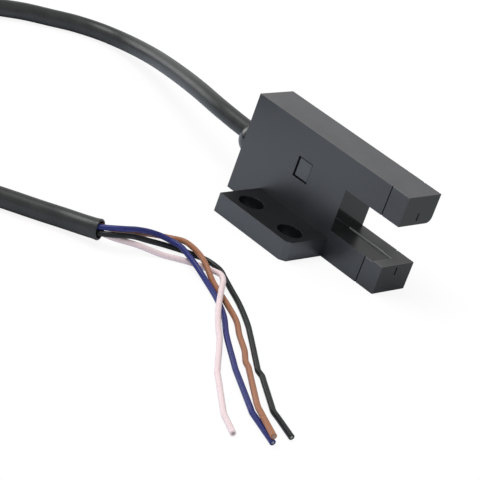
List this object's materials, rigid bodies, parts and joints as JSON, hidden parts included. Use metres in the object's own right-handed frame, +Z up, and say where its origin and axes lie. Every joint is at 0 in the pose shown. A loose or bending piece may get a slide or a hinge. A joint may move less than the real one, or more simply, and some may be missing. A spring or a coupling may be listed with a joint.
{
  "type": "fork sensor",
  "caption": "Slotted light barrier in a black moulded case with a side mounting flange, an indicator window and an attached cable that ends in bare-cut cores.",
  "frame": {"origin": "midway between the mounting holes, on the mounting face", "axes": "+X along the body from the cable end to the fork tips, +Z up from the mounting face, +Y from the flange towards the far side of the body"},
  "size_m": [0.0975, 0.0657, 0.012],
  "materials": {
    "case_plastic": "fine satin moulding",
    "cap_plastic": "smooth moulding, passes infrared light",
    "window_plastic": "smooth moulding",
    "resin": "cast, glossy",
    "board": "green solder mask",
    "lamp": "clear encapsulation",
    "chip": "moulded package",
    "ceramic": "fired ceramic",
    "solder": "bright solder",
    "jacket": "satin extruded jacket",
    "strap": "satin strap",
    "insulation_blue": "satin insulation",
    "insulation_brown": "satin insulation",
    "insulation_black": "satin insulation",
    "insulation_pink": "satin insulation"
  },
  "bodies": {
    "root": {"case": "case_plastic", "emitter_cap": "cap_plastic", "receiver_cap": "cap_plastic", "indicator_window": "window_plastic", "resin_seal": "resin", "circuit_board": "board", "emitter_led": "lamp", "receiver_ic": "chip", "indicator_led": "lamp", "output_transistor": "chip", "protection_diode": "chip", "chip_resistors": "chip", "chip_capacitors": "ceramic", "inner_leads": "insulation_brown", "solder_joints": "solder", "cable_lead": "jacket", "cable_coil": "jacket", "coil_tie": "strap", "cable_tail": "jacket", "core_blue": "insulation_blue", "core_brown": "insulation_brown", "core_black": "insulation_black", "core_pink": "insulation_pink"}
  },
  "joints": []
}
